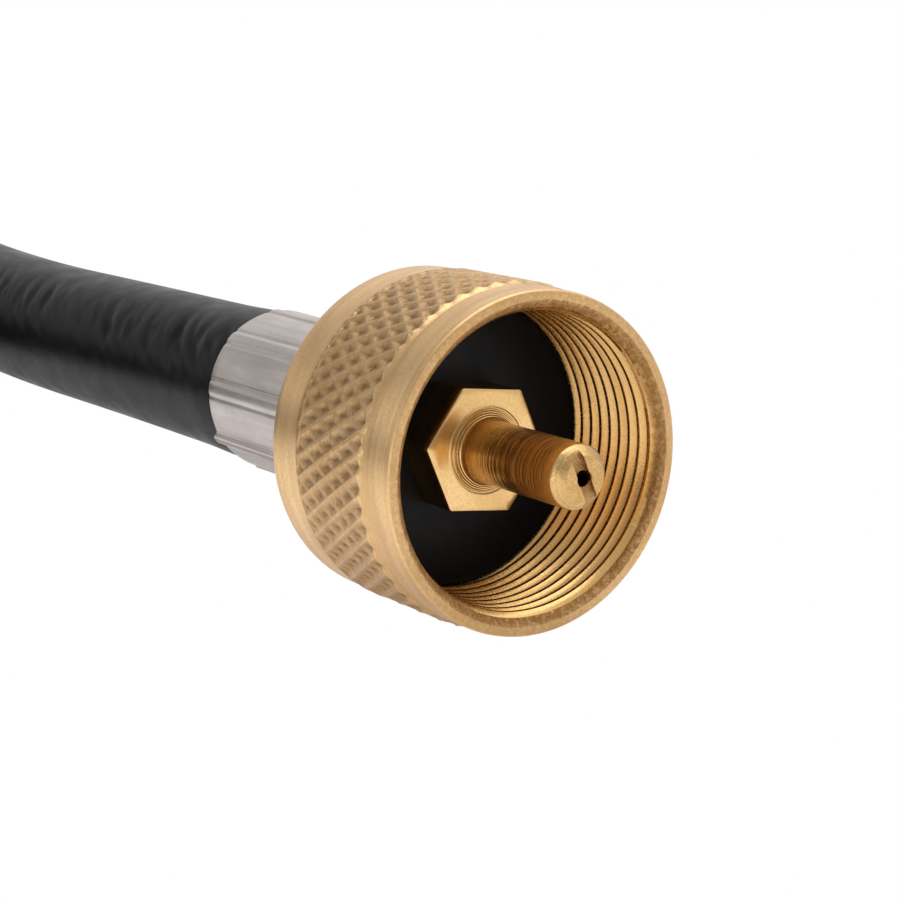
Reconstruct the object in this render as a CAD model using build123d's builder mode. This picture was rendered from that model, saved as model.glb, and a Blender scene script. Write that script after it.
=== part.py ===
from build123d import *
import math
import os

# Propane regulator hose, in millimetres.
# The origin is the centre of the cylinder coupling's mouth, +X leaves the mouth and +Z is up.
# Everything lies on one flat surface at floor_z: the knurled nut, the coiled hose and the regulator.

os.makedirs("parts", exist_ok=True)

# ---------------------------------------------------------------- sizes
inch = 25.4
running_gap = 0.06  # radial clearance of a part that turns or slides on another
seat_gap = 0.02  # radial clearance of a part that is screwed or pressed home
side_gap = 0.1  # axial play of the swivel nut on its stem

# Swivel nut, female 1 in - 20 UNEF
thread_pitch = inch / 20
thread_major_r = inch / 2
thread_crest_r = thread_major_r - 0.5413 * thread_pitch
mouth_face_wall = 0.8  # these four walls are measured from the thread's major radius
front_band_wall = 1.1
knurl_wall = 1.4
rear_band_wall = 1.2
mouth_face_r = thread_major_r + mouth_face_wall
front_band_r = thread_major_r + front_band_wall
knurl_r = thread_major_r + knurl_wall
rear_band_r = thread_major_r + rear_band_wall
front_band_len = 3.95
rear_band_len = 4.3
rear_chamfer = 0.35
lead_in = 1.0
nut_floor_wall = 2.56

# What the nut holds against the cylinder
washer_depth = 10.84  # from the mouth to the washer's face
washer_thick = 2.0
flange_thick = 2.0
flange_gap = 0.12
flange_r = thread_crest_r - flange_gap
neck_r = 6.2
nut_len = washer_depth + washer_thick + flange_thick + side_gap + nut_floor_wall
knurl_len = nut_len - front_band_len - rear_band_len
stem_bore_r = 1.9

# Valve probe: hexagon, hollow pin and the shank that screws into the stem
hex_flats = 10.0
hex_len = 3.88
hex_turn = -6.8  # degrees, one corner from +Y
pin_r = 2.6
pin_tip_r = 1.8
pin_tip_chamfer = 0.9
pin_reach = 6.1  # past the mouth
pin_hole_r = 0.65
pin_collar_r = 3.15
pin_collar_len = 0.55
tip_slot_w = 1.05
tip_slot_depth = 0.4
tip_slot_turn = -67.0
shank_r = 3.4
shank_len = 7.0
probe_end_gap = 0.3

# Hose, its ferrules and its barbed stems
hose_r = 7.0
hose_bore_r = 3.2
ferrule_wall = 0.7
ferrule_len = 23.4
ferrule_end_wall = 1.2
ferrule_squeeze = 0.05  # the crimp presses this far into the hose
ferrule_r = hose_r - ferrule_squeeze + ferrule_wall
collar_past_nut = 0.6
groove_r = 4.4
groove_len = 1.5
tail_r = hose_bore_r
barb_rise = 0.35
barb_r = tail_r + barb_rise
barb_pitch = 4.0
barb_count = 4

# Stored coil: one and a half turns, held by ties that lift it off the surface
tie_thick = 1.0
tie_width = 9.0
tie_clear = 0.25
coil_r = 76.0
coil_x = -165.0
coil_shift = 5.0  # the lower turn lies this much further in on one side
coil_inner_r = 64.0
coil_edge = 6.0
strand_gap = 0.2
tie_angles = (170.0, 215.0)

# Low-pressure regulator; heights are measured up from its base
body_r = 21.0
body_height = 23.0
body_wall = 3.0
body_floor = 3.5
base_chamfer = 1.5
rim_edge = 4.0  # of the rim outside the screws' circle
rim_thick = 3.0
port_height = 10.5
port_r = 6.5
boss_wall = 2.5
boss_r = port_r + boss_wall
boss_past_body = 10.0
boss_reach = body_r + boss_past_body
port_depth = 8.7
outlet_way_r = 4.0
diaphragm_thick = 1.2
bonnet_rim = 3.0
bonnet_dome_r = 21.0
bonnet_dome_height = 9.8
bonnet_wall = 3.0
dome_corner = 3.0
tower_bore_r = 7.0
tower_wall = 2.5
tower_r = tower_bore_r + tower_wall
tower_height = 12.0
cap_lip = 0.5
cap_r = tower_r + cap_lip
cap_thick = 3.0
cap_plug = 2.5
screw_count = 6
screw_r = 2.0
screw_hole_r = 2.2
screw_head_r = 3.4
screw_head_gap = 0.6  # from the bowl or the dome, whichever is wider
screw_circle_r = max(body_r, bonnet_dome_r) + screw_head_gap + screw_head_r
rim_r = screw_circle_r + rim_edge
screw_head_height = 2.4
screw_socket_flats = 3.0
screw_socket_depth = 1.4
vent_offset = 14.2
vent_r = 2.5
vent_lip = 0.5
screen_thick = 0.4
plate_r = 13.0
plate_thick = 1.0
plate_boss_r = 3.6
plate_boss_height = 1.8
link_r = 2.2
link_washer_r = 8.0
link_washer_thick = 1.2
link_foot_wall = 1.0
link_slot_height = 2.8
spring_r = 5.0
spring_wire_r = 0.6
spring_turns = 5
spring_len = 11.8
screw_len = 4.5
socket_flats = 5.0
socket_depth = 3.0

# Valve and lever inside the regulator; offsets run along +X from the regulator's centre
orifice_r = 3.0
orifice_bore_r = 1.2
orifice_nose_r = 1.9
orifice_tip = -16.0
orifice_cone = 1.2
valve_gap = 0.6  # how far the valve stands open at rest
disc_r = 3.0
disc_thick = 1.5
valve_head_thick = 0.7
valve_stem_r = 2.0
guide_near = -12.6
guide_far = -10.2
guide_half_width = 5.0
guide_above_port = 4.5
guide_height = port_height + guide_above_port
yoke_near = -9.55
yoke_far = -5.8
yoke_half = 2.0
yoke_bridge = 1.0
lever_pivot_offset = -7.5
lever_pivot_height = 6.0
lever_half_width = 0.8
lever_thick = 1.5
lever_arm_thick = 1.2
lever_play = 0.3
lever_hub_r = 2.2
lever_pin_r = 1.0
lever_tip_offset = 3.0
lever_tip_height = 16.0
lever_rise_offset = -4.25
lug_inner = 3.0
lug_outer = 5.5
lug_half_len = 2.0
lug_height = lever_pivot_height + lever_hub_r
link_foot = lever_tip_height - link_slot_height / 2 - link_foot_wall

# 3/8 in flare outlet fitting, 5/8 in - 18 UNF, and the inlet fitting's hexagon
flare_thread_r = 5 / 8 * inch / 2
flare_thread_len = 9.5
flare_nose_r = 5.2
flare_bore_r = 3.5
outlet_hex_flats = 17.5
outlet_hex_len = 6.0
inlet_hex_flats = 14.3
inlet_hex_len = 6.0
port_shank_len = 8.0
port_hex_gap = 1.0
shank_chamfer = 0.7

# ---------------------------------------------------------------- places
floor_z = -knurl_r
stem_face_x = -(washer_depth + washer_thick)
flange_back_x = stem_face_x - flange_thick
nut_floor_x = flange_back_x - side_gap
neck_end_x = -(nut_len + collar_past_nut)
hose_start_x = neck_end_x - groove_len
bore_floor_x = -washer_depth - shank_len - probe_end_gap

strand_low_z = floor_z + tie_thick + hose_r
strand_top_z = strand_low_z + 2 * hose_r + strand_gap
coil_y = -coil_r
tail_y = coil_y - coil_r
port_z = floor_z + port_height
tail_mouth_x = -111.0
tail_neck_x = tail_mouth_x + ferrule_len
hose_end_x = tail_neck_x - groove_len
inlet_hex_x = tail_neck_x + 0.3
reg_x = inlet_hex_x + inlet_hex_len + port_hex_gap + boss_reach
reg_y = tail_y
reg = Plane(origin=(reg_x, reg_y, floor_z))
reg_axis = Axis((reg_x, reg_y, floor_z), (0, 0, 1))
port_axis = Axis((reg_x, reg_y, port_z), (1, 0, 0))
seat_height = body_height + diaphragm_thick
dome_top = seat_height + bonnet_dome_height
chamber_top = dome_top - bonnet_wall
tower_top = dome_top + tower_height
spring_low = seat_height + plate_thick
spring_high = spring_low + spring_len

# The hose's route outside its coil, chosen by hand; the last point of one and the first of the other are in the coil
run_points = [
    (hose_start_x, 0, 0),
    (-60.0, 0, 0),
    (-106.0, 0, -0.6),
    (-148.0, 0, 3.2),
]
tail_points = [
    (-162.0, tail_y, strand_low_z),
    (-140.0, tail_y, strand_low_z + 0.5),
    (tail_mouth_x - 2.0, tail_y, port_z),
    (hose_end_x, tail_y, port_z),
]


# ---------------------------------------------------------------- helpers
def turned_x(*outline, plane=Plane.XZ):
    """A closed outline of (along +X, radius) points, to be turned about an X axis."""
    with BuildSketch(plane) as profile:
        with BuildLine():
            Polyline(*outline, close=True)
        make_face()
    return profile.sketch


def across(x, y=0.0, z=0.0):
    """A plane that faces +X, with its own x along +Y and its own y along +Z."""
    return Plane(origin=(x, y, z), x_dir=(0, 1, 0), z_dir=(1, 0, 0))


def upright(x, y, z):
    """A plane seen from -Y, with its own x along +X and its own y along +Z."""
    return Plane(origin=(x, y, z), x_dir=(1, 0, 0), z_dir=(0, -1, 0))


def port_profile(*outline):
    """As turned_x, about the regulator's port axis, measured from the regulator's centre."""
    return turned_x(*outline, plane=upright(reg_x, reg_y, port_z))


def turned_z(*outline):
    """A closed outline of (radius, height above the regulator's base) points, turned about its axis."""
    return turned_x(*outline, plane=upright(reg_x, reg_y, floor_z))


def barbed_tail(start, step):
    """The outline of a hose tail from its shoulder: barbs that slope away from the hose's end."""
    outline = [(start, tail_r)]
    for number in range(barb_count):
        foot = start + step * (2.0 + number * barb_pitch)
        outline += [(foot, tail_r), (foot, barb_r), (foot + step * (barb_pitch - 1.2), tail_r)]
    end = start + step * (2.0 + barb_count * barb_pitch)
    outline += [(end, tail_r), (end + step * 0.8, tail_r - 0.6), (end + step * 0.8, stem_bore_r)]
    return outline


def hose_path(points):
    """Straight runs joined by tangent arcs, each as large as its two runs allow."""
    radii = []
    for before, here, after in zip(points, points[1:], points[2:]):
        first = Vector(*here) - Vector(*before)
        second = Vector(*after) - Vector(*here)
        half_turn = math.radians(first.get_angle(second)) / 2
        radii.append(0.45 * min(first.length, second.length) / math.tan(half_turn))
    with BuildLine() as line:
        FilletPolyline(*points, radius=radii)
    route = line.wire()
    print("bend radii", [round(r) for r in radii], "length", round(route.length, 1))
    return route


def save(builder, name):
    builder.part.label = name
    export_step(builder.part, f"parts/{name}.step")


# ---------------------------------------------------------------- cylinder coupling
# Swivel nut; its thread is drawn at the crests and its knurl at the points
knurl_end_x = -(front_band_len + knurl_len)
with BuildPart() as coupling_nut:
    revolve(
        turned_x(
            (0, mouth_face_r),
            (-0.3, front_band_r),
            (-front_band_len, front_band_r),
            (-front_band_len - 0.4, knurl_r),
            (knurl_end_x, knurl_r),
            (knurl_end_x - 0.2, rear_band_r),
            (-nut_len + rear_chamfer, rear_band_r),
            (-nut_len, rear_band_r - rear_chamfer),
            (-nut_len, neck_r + running_gap),
            (nut_floor_x, neck_r + running_gap),
            (nut_floor_x, thread_crest_r),
            (-lead_in, thread_crest_r),
            (0, thread_major_r + 0.05),
        ),
        axis=Axis.X,
    )
save(coupling_nut, "coupling_nut")

# Flat black washer that the cylinder's valve seals on
with BuildPart() as seal_washer:
    revolve(
        turned_x(
            (-washer_depth, shank_r + seat_gap),
            (-washer_depth, flange_r),
            (stem_face_x, flange_r),
            (stem_face_x, shank_r + seat_gap),
        ),
        axis=Axis.X,
    )
save(seal_washer, "seal_washer")

# Probe that opens the cylinder's valve and carries the gas
hex_face_x = -washer_depth + hex_len
with BuildPart() as valve_probe:
    with BuildSketch(across(-washer_depth)):
        RegularPolygon(hex_flats / 2, 6, major_radius=False, rotation=hex_turn)
    extrude(amount=hex_len)
    revolve(
        turned_x(
            (-washer_depth - shank_len, 0),
            (-washer_depth - shank_len, shank_r - 0.3),
            (-washer_depth - shank_len + 0.3, shank_r),
            (-washer_depth, shank_r),
            (hex_face_x - 0.5, shank_r),
            (hex_face_x, pin_collar_r),
            (hex_face_x + pin_collar_len, pin_r),
            (pin_reach - pin_tip_chamfer, pin_r),
            (pin_reach, pin_tip_r),
            (pin_reach, 0),
        ),
        axis=Axis.X,
    )
    with BuildSketch(across(pin_reach)):
        Rectangle(3 * pin_r, tip_slot_w, rotation=tip_slot_turn)
    extrude(amount=-tip_slot_depth, mode=Mode.SUBTRACT)
    with BuildSketch(across(pin_reach)):
        Circle(pin_hole_r)
    extrude(amount=-(pin_reach + washer_depth + shank_len), mode=Mode.SUBTRACT)
save(valve_probe, "valve_probe")

# Stem that the nut turns on, barbed into the hose
with BuildPart() as swivel_stem:
    revolve(
        turned_x(
            (stem_face_x, shank_r + seat_gap),
            (stem_face_x, flange_r),
            (flange_back_x, flange_r),
            (flange_back_x, neck_r),
            (neck_end_x, neck_r),
            (neck_end_x, groove_r),
            (hose_start_x, groove_r),
            *barbed_tail(hose_start_x, -1),
            (bore_floor_x, stem_bore_r),
            (bore_floor_x, shank_r + seat_gap),
        ),
        axis=Axis.X,
    )
save(swivel_stem, "swivel_stem")


def ferrule_outline(shoulder_x, step):
    """A crimped sleeve from its end wall, in the stem's groove, to its mouth over the hose."""
    inner_r = hose_r - ferrule_squeeze
    wall_x = shoulder_x + step * ferrule_end_wall
    mouth_x = shoulder_x + step * ferrule_len
    return [
        (shoulder_x, groove_r),
        (shoulder_x, ferrule_r - 0.4),
        (shoulder_x + step * 0.4, ferrule_r),
        (mouth_x - step * 0.3, ferrule_r),
        (mouth_x, ferrule_r - 0.2),
        (mouth_x, inner_r),
        (wall_x, inner_r),
        (wall_x, groove_r),
    ]


with BuildPart() as ferrule_nut_end:
    revolve(turned_x(*ferrule_outline(neck_end_x, -1)), axis=Axis.X)
save(ferrule_nut_end, "ferrule_nut_end")

# ---------------------------------------------------------------- hose
for hose_name, points in (("hose_run", run_points), ("hose_tail", tail_points)):
    path = hose_path(points)
    with BuildPart() as hose:
        with BuildSketch(Plane(origin=path @ 0, z_dir=path % 0)):
            Circle(hose_r)
            Circle(hose_bore_r, mode=Mode.SUBTRACT)
        sweep(path=path)
    section = math.pi * (hose_r**2 - hose_bore_r**2)
    print(hose_name, "volume over section times length", round(hose.part.volume / section / path.length, 4))
    save(hose, hose_name)

# The stored turns, as the one ring that they fill
with BuildPart() as hose_coil:
    with BuildSketch(Plane(origin=(coil_x, coil_y, floor_z + tie_thick))):
        Circle(coil_r + hose_r)
        with Locations((0, -coil_shift)):
            Circle(coil_inner_r, mode=Mode.SUBTRACT)
    extrude(amount=strand_top_z + hose_r - floor_z - tie_thick)
    fillet(hose_coil.edges().filter_by(GeomType.CIRCLE), radius=coil_edge)
save(hose_coil, "hose_coil")

# Straps round the bundle; they lie under it on the surface
with BuildPart() as coil_ties:
    bundle_height = strand_top_z - strand_low_z + 2 * hose_r + tie_clear
    bundle_width = 2 * (hose_r + tie_clear)
    for angle in tie_angles:
        away = (math.cos(math.radians(angle)), math.sin(math.radians(angle)), 0)
        middle = (
            coil_x + coil_r * away[0],
            coil_y + coil_r * away[1],
            floor_z + tie_thick + bundle_height / 2,
        )
        with BuildSketch(Plane(origin=middle, x_dir=away, z_dir=(-away[1], away[0], 0))):
            RectangleRounded(bundle_width + 2 * tie_thick, bundle_height + 2 * tie_thick, hose_r)
            RectangleRounded(bundle_width, bundle_height, hose_r - tie_thick, mode=Mode.SUBTRACT)
        extrude(amount=tie_width / 2, both=True)
save(coil_ties, "coil_ties")

# ---------------------------------------------------------------- regulator end
with BuildPart() as ferrule_regulator_end:
    revolve(
        turned_x(*ferrule_outline(tail_neck_x, -1), plane=upright(0, tail_y, port_z)),
        axis=port_axis,
    )
save(ferrule_regulator_end, "ferrule_regulator_end")

# Barbed stem with a hexagon, screwed into the regulator's inlet
with BuildPart() as inlet_fitting:
    inlet_hex_end = inlet_hex_x + inlet_hex_len
    shank_end = inlet_hex_end + port_hex_gap + port_shank_len
    revolve(
        turned_x(
            (shank_end, stem_bore_r),
            (shank_end, port_r - shank_chamfer),
            (shank_end - shank_chamfer, port_r),
            (inlet_hex_end, port_r),
            (inlet_hex_x, port_r),
            (inlet_hex_x, neck_r),
            (tail_neck_x, neck_r),
            (tail_neck_x, groove_r),
            (hose_end_x, groove_r),
            *barbed_tail(hose_end_x, -1),
            plane=upright(0, tail_y, port_z),
        ),
        axis=port_axis,
    )
    with BuildSketch(across(inlet_hex_x, tail_y, port_z)):
        RegularPolygon(inlet_hex_flats / 2, 6, major_radius=False)
        Circle(stem_bore_r, mode=Mode.SUBTRACT)
    extrude(amount=inlet_hex_len)
save(inlet_fitting, "inlet_fitting")

# Cast body: bowl, rim, two ports, the valve's guide and the lever's lugs
with BuildPart() as regulator_body:
    revolve(
        turned_z(
            (0, 0),
            (body_r - base_chamfer, 0),
            (body_r, base_chamfer),
            (body_r, body_height - rim_thick),
            (rim_r, body_height - rim_thick),
            (rim_r, body_height),
            (0, body_height),
        ),
        axis=reg_axis,
    )
    with BuildSketch(across(reg_x - boss_reach, reg_y, port_z)):
        Circle(boss_r)
    extrude(amount=2 * boss_reach)
    with BuildSketch(reg.offset(body_floor)):
        Circle(body_r - body_wall)
    extrude(amount=body_height - body_floor, mode=Mode.SUBTRACT)
    with BuildSketch(reg.offset(body_floor - 0.5)):
        with Locations(((guide_near + guide_far) / 2, 0)):
            Rectangle(guide_far - guide_near, 2 * guide_half_width)
    extrude(amount=guide_height - body_floor + 0.5)
    with BuildSketch(reg.offset(body_floor - 0.5)):
        for side in (1, -1):
            with Locations((lever_pivot_offset, side * (lug_inner + lug_outer) / 2)):
                Rectangle(2 * lug_half_len, lug_outer - lug_inner)
    extrude(amount=lug_height - body_floor + 0.5)
    with BuildSketch(across(reg_x - boss_reach, reg_y, port_z)):
        Circle(port_r + seat_gap)
    extrude(amount=port_depth, mode=Mode.SUBTRACT)
    with BuildSketch(across(reg_x - boss_reach, reg_y, port_z)):
        Circle(orifice_r + seat_gap)
    extrude(amount=boss_reach + guide_near - 1.0, mode=Mode.SUBTRACT)
    with BuildSketch(across(reg_x + guide_near - 1.0, reg_y, port_z)):
        Circle(valve_stem_r + running_gap)
    extrude(amount=guide_far - guide_near + 2.0, mode=Mode.SUBTRACT)
    with BuildSketch(across(reg_x + boss_reach, reg_y, port_z)):
        Circle(port_r + seat_gap)
    extrude(amount=-port_depth, mode=Mode.SUBTRACT)
    with BuildSketch(across(reg_x + boss_reach, reg_y, port_z)):
        Circle(outlet_way_r)
    extrude(amount=-(boss_reach - body_r + body_wall + 2.0), mode=Mode.SUBTRACT)
    lever_axis_plane = Plane(
        origin=(reg_x + lever_pivot_offset, reg_y, floor_z + lever_pivot_height),
        x_dir=(1, 0, 0),
        z_dir=(0, 1, 0),
    )
    with BuildSketch(lever_axis_plane):
        Circle(lever_pin_r + seat_gap)
    extrude(amount=lug_outer + 1.0, both=True, mode=Mode.SUBTRACT)
    with BuildSketch(reg.offset(body_height)):
        with PolarLocations(screw_circle_r, screw_count, start_angle=30):
            Circle(screw_r + seat_gap)
    extrude(amount=-rim_thick, mode=Mode.SUBTRACT)
save(regulator_body, "regulator_body")

# Nozzle that the valve closes
with BuildPart() as orifice:
    revolve(
        port_profile(
            (-boss_reach + port_depth, orifice_bore_r),
            (-boss_reach + port_depth, orifice_r),
            (orifice_tip - orifice_cone, orifice_r),
            (orifice_tip, orifice_nose_r),
            (orifice_tip, orifice_bore_r),
        ),
        axis=port_axis,
    )
save(orifice, "orifice")

# Rubber disc and the slide that carries it
disc_x = orifice_tip + valve_gap
with BuildPart() as valve_disc:
    with BuildSketch(across(reg_x + disc_x, reg_y, port_z)):
        Circle(disc_r)
    extrude(amount=disc_thick)
save(valve_disc, "valve_disc")

with BuildPart() as valve_slide:
    head_x = disc_x + disc_thick
    with BuildSketch(across(reg_x + head_x, reg_y, port_z)):
        Circle(disc_r)
    extrude(amount=valve_head_thick)
    with BuildSketch(across(reg_x + head_x, reg_y, port_z)):
        Circle(valve_stem_r)
    extrude(amount=yoke_near - head_x + 0.5)
    with BuildSketch(across(reg_x + yoke_near, reg_y, port_z)):
        Rectangle(2 * yoke_half, 2 * yoke_half)
    extrude(amount=yoke_far - yoke_near)
    slot_half = lever_arm_thick / 2 + lever_play
    with BuildSketch(Plane(origin=(reg_x + lever_pivot_offset, reg_y, port_z - yoke_half))):
        Rectangle(2 * slot_half, 3 * yoke_half)
    extrude(amount=2 * yoke_half - yoke_bridge, mode=Mode.SUBTRACT)
save(valve_slide, "valve_slide")

# Lever: short arm in the slide's slot, long arm in the link's slot
with BuildPart() as lever:
    with BuildSketch(upright(reg_x, reg_y, floor_z)):
        low = lever_pivot_height - lever_thick / 2
        high = lever_tip_height + lever_thick / 2
        rise_near = lever_rise_offset - lever_thick / 2
        rise_far = lever_rise_offset + lever_thick / 2
        arm_near = lever_pivot_offset - lever_arm_thick / 2
        arm_far = lever_pivot_offset + lever_arm_thick / 2
        arm_top = port_height + yoke_half - yoke_bridge - lever_play
        with BuildLine():
            Polyline(
                (arm_near, low),
                (rise_far, low),
                (rise_far, high - lever_thick),
                (lever_tip_offset, high - lever_thick),
                (lever_tip_offset, high),
                (rise_near, high),
                (rise_near, low + lever_thick),
                (arm_far, low + lever_thick),
                (arm_far, arm_top),
                (arm_near, arm_top),
                close=True,
            )
        make_face()
        with Locations((lever_pivot_offset, lever_pivot_height)):
            Circle(lever_hub_r)
            Circle(lever_pin_r + running_gap, mode=Mode.SUBTRACT)
    extrude(amount=lever_half_width, both=True)
save(lever, "lever")

with BuildPart() as lever_pin:
    with BuildSketch(lever_axis_plane):
        Circle(lever_pin_r)
    extrude(amount=lug_outer, both=True)
save(lever_pin, "lever_pin")

# Rubber diaphragm, clamped between the rims
with BuildPart() as diaphragm:
    with BuildSketch(reg.offset(body_height)):
        Circle(rim_r)
        Circle(link_r + seat_gap, mode=Mode.SUBTRACT)
        with PolarLocations(screw_circle_r, screw_count, start_angle=30):
            Circle(screw_hole_r, mode=Mode.SUBTRACT)
    extrude(amount=diaphragm_thick)
save(diaphragm, "diaphragm")

with BuildPart() as diaphragm_plate:
    revolve(
        turned_z(
            (link_r + seat_gap, seat_height),
            (plate_r, seat_height),
            (plate_r, seat_height + plate_thick),
            (plate_boss_r, seat_height + plate_thick),
            (plate_boss_r, seat_height + plate_thick + plate_boss_height),
            (link_r + seat_gap, seat_height + plate_thick + plate_boss_height),
        ),
        axis=reg_axis,
    )
save(diaphragm_plate, "diaphragm_plate")

# Link that hangs from the diaphragm and moves the lever
with BuildPart() as diaphragm_link:
    link_top = seat_height + plate_thick + plate_boss_height
    revolve(
        turned_z(
            (0, link_foot),
            (link_r, link_foot),
            (link_r, body_height - link_washer_thick),
            (link_washer_r, body_height - link_washer_thick),
            (link_washer_r, body_height),
            (link_r, body_height),
            (link_r, link_top),
            (0, link_top),
        ),
        axis=reg_axis,
    )
    with BuildSketch(across(reg_x - 2 * link_r, reg_y, floor_z + lever_tip_height)):
        Rectangle(2 * (lever_half_width + lever_play), link_slot_height)
    extrude(amount=4 * link_r, mode=Mode.SUBTRACT)
save(diaphragm_link, "diaphragm_link")

# Pressed bonnet: rim, dome, spring tower and vent
with BuildPart() as bonnet:
    revolve(
        turned_z(
            (bonnet_dome_r - bonnet_wall, seat_height),
            (rim_r, seat_height),
            (rim_r, seat_height + bonnet_rim),
            (bonnet_dome_r, seat_height + bonnet_rim),
            (bonnet_dome_r, dome_top - dome_corner),
            (bonnet_dome_r - dome_corner, dome_top),
            (tower_r, dome_top),
            (tower_r, tower_top),
            (tower_bore_r, tower_top),
            (tower_bore_r, chamber_top),
            (bonnet_dome_r - bonnet_wall - 2.0, chamber_top),
            (bonnet_dome_r - bonnet_wall, chamber_top - 2.0),
        ),
        axis=reg_axis,
    )
    with BuildSketch(reg.offset(seat_height + bonnet_rim)):
        with PolarLocations(screw_circle_r, screw_count, start_angle=30):
            Circle(screw_hole_r)
    extrude(amount=-bonnet_rim, mode=Mode.SUBTRACT)
    with BuildSketch(reg.offset(dome_top)):
        with Locations((0, -vent_offset)):
            Circle(vent_r)
    extrude(amount=-(screen_thick + vent_lip), mode=Mode.SUBTRACT)
    with BuildSketch(reg.offset(dome_top)):
        with Locations((0, -vent_offset)):
            Circle(vent_r - vent_lip)
    extrude(amount=-bonnet_wall - 1.0, mode=Mode.SUBTRACT)
save(bonnet, "bonnet")

with BuildPart() as vent_screen:
    with BuildSketch(reg.offset(dome_top - screen_thick - vent_lip)):
        with Locations((0, -vent_offset)):
            Circle(vent_r - seat_gap)
    extrude(amount=screen_thick)
save(vent_screen, "vent_screen")

# Regulating spring, from the diaphragm's plate to the adjusting screw
with BuildPart() as regulating_spring:
    coil_pitch = (spring_len - 2 * spring_wire_r - 0.1) / spring_turns
    spring_base = (reg_x, reg_y, floor_z + spring_low + spring_wire_r + 0.05)
    with BuildLine() as spring_line:
        Helix(coil_pitch, coil_pitch * spring_turns, spring_r, center=spring_base)
    spring_path = spring_line.wire()
    with BuildSketch(Plane(origin=spring_path @ 0, z_dir=spring_path % 0)):
        Circle(spring_wire_r)
    sweep(path=spring_path, is_frenet=True)
save(regulating_spring, "regulating_spring")

with BuildPart() as adjusting_screw:
    with BuildSketch(reg.offset(spring_high)):
        Circle(tower_bore_r - running_gap)
    extrude(amount=screw_len)
    with BuildSketch(reg.offset(spring_high + screw_len)):
        RegularPolygon(socket_flats / 2, 6, major_radius=False)
    extrude(amount=-socket_depth, mode=Mode.SUBTRACT)
save(adjusting_screw, "adjusting_screw")

with BuildPart() as tower_cap:
    revolve(
        turned_z(
            (0, tower_top - cap_plug),
            (tower_bore_r - seat_gap, tower_top - cap_plug),
            (tower_bore_r - seat_gap, tower_top),
            (cap_r, tower_top),
            (cap_r, tower_top + cap_thick - 0.6),
            (cap_r - 0.6, tower_top + cap_thick),
            (0, tower_top + cap_thick),
        ),
        axis=reg_axis,
    )
save(tower_cap, "tower_cap")

# Six screws through both rims and the diaphragm
with BuildPart() as bonnet_screws:
    screw_seat = seat_height + bonnet_rim
    with BuildSketch(reg.offset(screw_seat)):
        with PolarLocations(screw_circle_r, screw_count, start_angle=30):
            Circle(screw_head_r)
    extrude(amount=screw_head_height)
    with BuildSketch(reg.offset(screw_seat)):
        with PolarLocations(screw_circle_r, screw_count, start_angle=30):
            Circle(screw_r)
    extrude(amount=-(screw_seat - body_height + rim_thick))
    with BuildSketch(reg.offset(screw_seat + screw_head_height)):
        with PolarLocations(screw_circle_r, screw_count, start_angle=30):
            RegularPolygon(screw_socket_flats / 2, 6, major_radius=False)
    extrude(amount=-screw_socket_depth, mode=Mode.SUBTRACT)
save(bonnet_screws, "bonnet_screws")

# Outlet fitting with its 45 degree flare nose
with BuildPart() as outlet_fitting:
    hex_near = boss_reach + port_hex_gap
    hex_far = hex_near + outlet_hex_len
    thread_end = hex_far + flare_thread_len
    revolve(
        port_profile(
            (boss_reach - port_shank_len, flare_bore_r),
            (boss_reach - port_shank_len, port_r - shank_chamfer),
            (boss_reach - port_shank_len + shank_chamfer, port_r),
            (hex_far, port_r),
            (hex_far, flare_thread_r),
            (thread_end, flare_thread_r),
            (thread_end + flare_thread_r - flare_nose_r, flare_nose_r),
            (thread_end + flare_thread_r - flare_nose_r, flare_bore_r),
        ),
        axis=port_axis,
    )
    with BuildSketch(across(reg_x + hex_near, reg_y, port_z)):
        RegularPolygon(outlet_hex_flats / 2, 6, major_radius=False)
        Circle(flare_bore_r, mode=Mode.SUBTRACT)
    extrude(amount=outlet_hex_len)
save(outlet_fitting, "outlet_fitting")
print("regulator centre", reg_x, reg_y, "floor", floor_z, "port", port_z)
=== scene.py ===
import math

import bmesh
import bpy
import numpy as np
from mathutils import Matrix, Vector


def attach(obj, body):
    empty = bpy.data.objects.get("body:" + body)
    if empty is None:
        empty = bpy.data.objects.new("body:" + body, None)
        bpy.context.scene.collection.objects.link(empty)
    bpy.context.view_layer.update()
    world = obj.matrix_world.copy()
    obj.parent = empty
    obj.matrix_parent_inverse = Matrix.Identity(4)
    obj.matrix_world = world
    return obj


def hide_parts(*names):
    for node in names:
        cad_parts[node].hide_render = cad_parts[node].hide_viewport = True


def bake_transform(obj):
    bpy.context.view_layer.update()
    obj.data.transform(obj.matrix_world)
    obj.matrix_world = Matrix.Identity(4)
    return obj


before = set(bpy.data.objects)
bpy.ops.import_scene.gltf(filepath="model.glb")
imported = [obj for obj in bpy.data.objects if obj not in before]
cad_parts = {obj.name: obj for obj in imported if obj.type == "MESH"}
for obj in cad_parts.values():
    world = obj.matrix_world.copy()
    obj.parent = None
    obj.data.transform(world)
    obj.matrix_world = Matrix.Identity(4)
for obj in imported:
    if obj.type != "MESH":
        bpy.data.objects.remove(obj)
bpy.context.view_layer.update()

MM = 0.001
TURN = 2 * math.pi
WHITE = (1, 1, 1, 1)


def added(name, data):
    """A new object in the scene."""
    made = bpy.data.objects.new(name, data)
    bpy.context.scene.collection.objects.link(made)
    return made


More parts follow.
